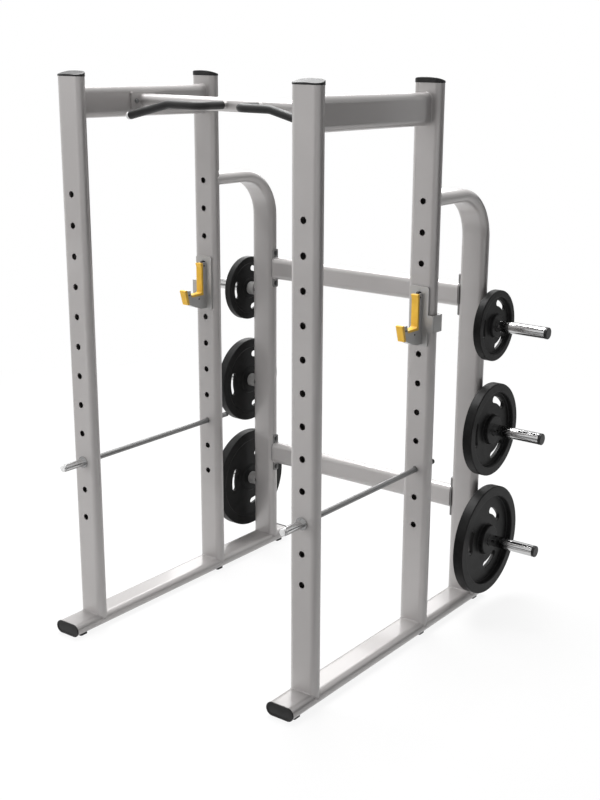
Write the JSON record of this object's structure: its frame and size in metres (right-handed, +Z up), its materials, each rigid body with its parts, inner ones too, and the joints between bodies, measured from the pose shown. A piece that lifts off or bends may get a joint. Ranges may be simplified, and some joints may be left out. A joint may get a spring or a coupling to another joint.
{
  "type": "power cage",
  "caption": "Free-standing power cage of flat-oval tube with cranked chin grips, swing-off bar hooks, pull-out safety rods and rear horns carrying slide-off weight plates.",
  "frame": {"origin": "middle of the footprint, on the floor", "axes": "+X to the right seen from the open front, +Y to the storage end at the rear, +Z up"},
  "size_m": [1.809, 1.517, 2.2369],
  "materials": {
    "frame_paint": "satin grey",
    "collar_paint": "satin grey",
    "flange_paint": "satin dark grey",
    "hook_paint": "satin dark grey",
    "liner_plastic": "satin yellow",
    "cap_plastic": "gloss black",
    "foot_rubber": "matt black",
    "grip_rubber": "matt black",
    "plug_plastic": "light grey",
    "tip_plastic": "matt black",
    "horn_chrome": "polished",
    "rod_steel": "polished dark",
    "dark_steel": "black oxide",
    "plate_iron": "satin black"
  },
  "bodies": {
    "frame": {"base_rail_left": "frame_paint", "base_rail_right": "frame_paint", "chin_bar": "frame_paint", "chin_bar_bolts": "dark_steel", "chin_bar_flanges": "frame_paint", "floor_feet": "foot_rubber", "front_upright_left": "frame_paint", "front_upright_right": "frame_paint", "grip_bar_left": "frame_paint", "grip_bar_right": "frame_paint", "grip_end_plugs": "plug_plastic", "grip_sleeve_left": "grip_rubber", "grip_sleeve_right": "grip_rubber", "horn_collars": "collar_paint", "horn_end_caps": "cap_plastic", "rail_end_caps": "cap_plastic", "rear_beam_bolts": "dark_steel", "rear_beam_flanges": "flange_paint", "rear_beam_lower": "frame_paint", "rear_beam_upper": "frame_paint", "rear_upright_left": "frame_paint", "rear_upright_right": "frame_paint", "side_beam_left": "frame_paint", "side_beam_right": "frame_paint", "storage_horn_left_bottom": "horn_chrome", "storage_horn_left_middle": "horn_chrome", "storage_horn_left_top": "horn_chrome", "storage_horn_right_bottom": "horn_chrome", "storage_horn_right_middle": "horn_chrome", "storage_horn_right_top": "horn_chrome", "storage_post_left": "frame_paint", "storage_post_right": "frame_paint", "upright_top_caps": "cap_plastic"},
    "plate_left_small": {"weight_plate_left_small": "plate_iron"},
    "plate_left_medium": {"weight_plate_left_medium": "plate_iron"},
    "plate_left_large": {"weight_plate_left_large": "plate_iron"},
    "hook_left": {"hook_plate_left": "hook_paint", "hook_arm_left": "hook_paint", "hook_liner_left": "liner_plastic", "hook_pin_left": "rod_steel", "hook_screws_left": "dark_steel"},
    "safety_left": {"safety_rod_left": "rod_steel", "rod_stop_left": "rod_steel", "rod_handle_left": "rod_steel", "rod_plug_left": "plug_plastic", "rod_tip_left": "tip_plastic"},
    "plate_right_small": {"weight_plate_right_small": "plate_iron"},
    "plate_right_medium": {"weight_plate_right_medium": "plate_iron"},
    "plate_right_large": {"weight_plate_right_large": "plate_iron"},
    "hook_right": {"hook_plate_right": "hook_paint", "hook_arm_right": "hook_paint", "hook_liner_right": "liner_plastic", "hook_pin_right": "rod_steel", "hook_screws_right": "dark_steel"},
    "safety_right": {"safety_rod_right": "rod_steel", "rod_stop_right": "rod_steel", "rod_handle_right": "rod_steel", "rod_plug_right": "plug_plastic", "rod_tip_right": "tip_plastic"}
  },
  "joints": [
    {"name": "plate_left_small_slide", "type": "slide", "parent": "frame", "child": "plate_left_small", "axis": [-1, 0, 0], "range_m": [0, 0.23]},
    {"name": "plate_left_medium_slide", "type": "slide", "parent": "frame", "child": "plate_left_medium", "axis": [-1, 0, 0], "range_m": [0, 0.22]},
    {"name": "plate_left_large_slide", "type": "slide", "parent": "frame", "child": "plate_left_large", "axis": [-1, 0, 0], "range_m": [0, 0.22]},
    {"name": "hook_left_swing", "type": "hinge", "parent": "frame", "child": "hook_left", "pos_m": [-0.5525, 0.135, 1.4283], "axis": [0, 1, 0], "range_deg": [0, 90]},
    {"name": "safety_left_slide", "type": "slide", "parent": "frame", "child": "safety_left", "axis": [0, -1, 0], "range_m": [0, 0.8]},
    {"name": "plate_right_small_slide", "type": "slide", "parent": "frame", "child": "plate_right_small", "axis": [1, 0, 0], "range_m": [0, 0.23]},
    {"name": "plate_right_medium_slide", "type": "slide", "parent": "frame", "child": "plate_right_medium", "axis": [1, 0, 0], "range_m": [0, 0.22]},
    {"name": "plate_right_large_slide", "type": "slide", "parent": "frame", "child": "plate_right_large", "axis": [1, 0, 0], "range_m": [0, 0.22]},
    {"name": "hook_right_swing", "type": "hinge", "parent": "frame", "child": "hook_right", "pos_m": [0.5525, 0.135, 1.4283], "axis": [0, -1, 0], "range_deg": [0, 90]},
    {"name": "safety_right_slide", "type": "slide", "parent": "frame", "child": "safety_right", "axis": [0, -1, 0], "range_m": [0, 0.8]}
  ]
}
